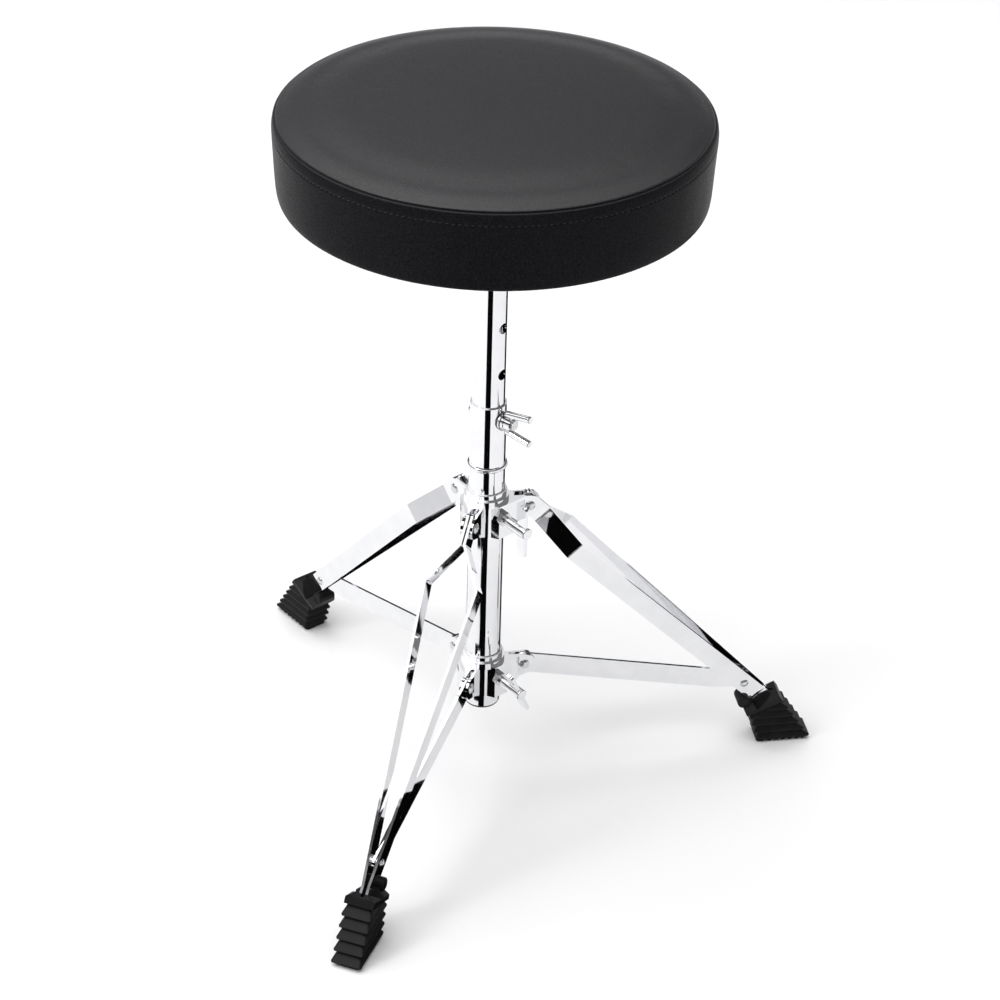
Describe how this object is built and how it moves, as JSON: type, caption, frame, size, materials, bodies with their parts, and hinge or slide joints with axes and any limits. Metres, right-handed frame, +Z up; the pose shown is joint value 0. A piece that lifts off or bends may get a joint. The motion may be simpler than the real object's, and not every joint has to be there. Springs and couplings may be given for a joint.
{
  "type": "drum throne",
  "caption": "Folding drum throne: round black vinyl cushion on a telescoping chrome post, three double-bar legs with struts, sliding bracket, wing screws and rubber feet.",
  "frame": {"origin": "on the column's axis, on the floor plane that the soles of the three rubber feet stand on", "axes": "+Z up along the column; the upper wing screw points towards the front right, at 50.5 degrees below +X in plan; leg b points along +X turned 9.5 degrees towards +Y"},
  "size_m": [0.4532, 0.477, 0.582],
  "materials": {
    "chrome": "bright chrome plate",
    "bright_screws": "zinc plated, semi-bright",
    "black_vinyl": "fine-grained vinyl, semi-matte",
    "foam": "open-cell foam",
    "plywood": "black-stained plywood",
    "black_steel": "satin black paint",
    "rubber": "moulded rubber, matte",
    "plug_plastic": "matte moulding"
  },
  "bodies": {
    "base": {"base_tube": "chrome", "stop_ring": "chrome", "tube_plug": "plug_plastic", "lock_bolt_head": "chrome", "lock_stud": "bright_screws", "lock_washer": "bright_screws", "upper_collar": "chrome", "upper_bracket": "chrome", "upper_rivets": "bright_screws", "upper_screw_nut": "bright_screws"},
    "lower_slider": {"lower_collar": "chrome", "lower_bracket": "chrome", "lower_rivets": "bright_screws", "lower_screw_nut": "bright_screws"},
    "post": {"seat_post": "chrome"},
    "seat": {"seat_cover": "black_vinyl", "seat_foam": "foam", "seat_board": "plywood", "seat_plate": "black_steel", "seat_socket": "black_steel", "seat_plate_screws": "bright_screws"},
    "upper_wing": {"upper_wing_screw": "chrome"},
    "lower_wing": {"lower_wing_screw": "chrome"},
    "lock_wing": {"lock_wing_nut": "chrome"},
    "seat_wing": {"seat_clamp_screw": "chrome"},
    "leg_a": {"leg_a_bar_left": "chrome", "leg_a_bar_right": "chrome", "leg_a_foot_rivet": "bright_screws", "leg_a_foot": "rubber"},
    "strut_a": {"strut_a": "chrome", "strut_a_pin": "bright_screws"},
    "leg_b": {"leg_b_bar_left": "chrome", "leg_b_bar_right": "chrome", "leg_b_foot_rivet": "bright_screws", "leg_b_foot": "rubber"},
    "strut_b": {"strut_b": "chrome", "strut_b_pin": "bright_screws"},
    "leg_c": {"leg_c_bar_left": "chrome", "leg_c_bar_right": "chrome", "leg_c_foot_rivet": "bright_screws", "leg_c_foot": "rubber"},
    "strut_c": {"strut_c": "chrome", "strut_c_pin": "bright_screws"}
  },
  "joints": [
    {"name": "leg_a_fold", "type": "hinge", "parent": "base", "child": "leg_a", "pos_m": [-0.02118, 0.02569, 0.2443], "axis": [-0.7716, -0.6361, 0], "range_deg": [0, 42]},
    {"name": "leg_b_fold", "type": "hinge", "parent": "base", "child": "leg_b", "pos_m": [0.03284, 0.0055, 0.2443], "axis": [-0.165, 0.9863, 0], "range_deg": [0, 42]},
    {"name": "leg_c_fold", "type": "hinge", "parent": "base", "child": "leg_c", "pos_m": [-0.01166, -0.03119, 0.2443], "axis": [0.9367, -0.3502, 0], "range_deg": [0, 42]},
    {"name": "bracket_slide", "type": "slide", "parent": "base", "child": "lower_slider", "axis": [0, 0, 1], "range_m": [0, 0.0762]},
    {"name": "strut_a_swing", "type": "hinge", "parent": "lower_slider", "child": "strut_a", "pos_m": [-0.02118, 0.02569, 0.093], "axis": [-0.7716, -0.6361, 0], "range_deg": [0, 76]},
    {"name": "strut_b_swing", "type": "hinge", "parent": "lower_slider", "child": "strut_b", "pos_m": [0.03284, 0.0055, 0.093], "axis": [-0.165, 0.9863, 0], "range_deg": [0, 76]},
    {"name": "strut_c_swing", "type": "hinge", "parent": "lower_slider", "child": "strut_c", "pos_m": [-0.01166, -0.03119, 0.093], "axis": [0.9367, -0.3502, 0], "range_deg": [0, 76]},
    {"name": "seat_height", "type": "slide", "parent": "base", "child": "post", "axis": [0, 0, 1], "range_m": [-0.117, 0.039]},
    {"name": "seat_swivel", "type": "hinge", "parent": "post", "child": "seat", "pos_m": [0, 0, 0.5], "axis": [0, 0, 1], "continuous": true},
    {"name": "upper_wing_turn", "type": "hinge", "parent": "base", "child": "upper_wing", "pos_m": [0.01272, -0.01543, 0.2433], "axis": [0.6361, -0.7716, 0], "continuous": true},
    {"name": "lower_wing_turn", "type": "hinge", "parent": "lower_slider", "child": "lower_wing", "pos_m": [0.01272, -0.01543, 0.092], "axis": [0.6361, -0.7716, 0], "continuous": true},
    {"name": "lock_wing_turn", "type": "hinge", "parent": "base", "child": "lock_wing", "pos_m": [0.01576, -0.01231, 0.325], "axis": [0.788, -0.6157, 0], "continuous": true},
    {"name": "seat_wing_turn", "type": "hinge", "parent": "seat", "child": "seat_wing", "pos_m": [0, 0.02, 0.486], "axis": [0, 1, 0], "continuous": true}
  ],
  "couplings": [
    {"joint": "leg_b_fold", "follows": "leg_a_fold", "ratio": 1},
    {"joint": "leg_c_fold", "follows": "leg_a_fold", "ratio": 1},
    {"joint": "bracket_slide", "follows": "leg_a_fold", "m_per_rad": 0.10368},
    {"joint": "strut_a_swing", "follows": "leg_a_fold", "ratio": 1.8043},
    {"joint": "strut_b_swing", "follows": "leg_a_fold", "ratio": 1.8043},
    {"joint": "strut_c_swing", "follows": "leg_a_fold", "ratio": 1.8043}
  ]
}
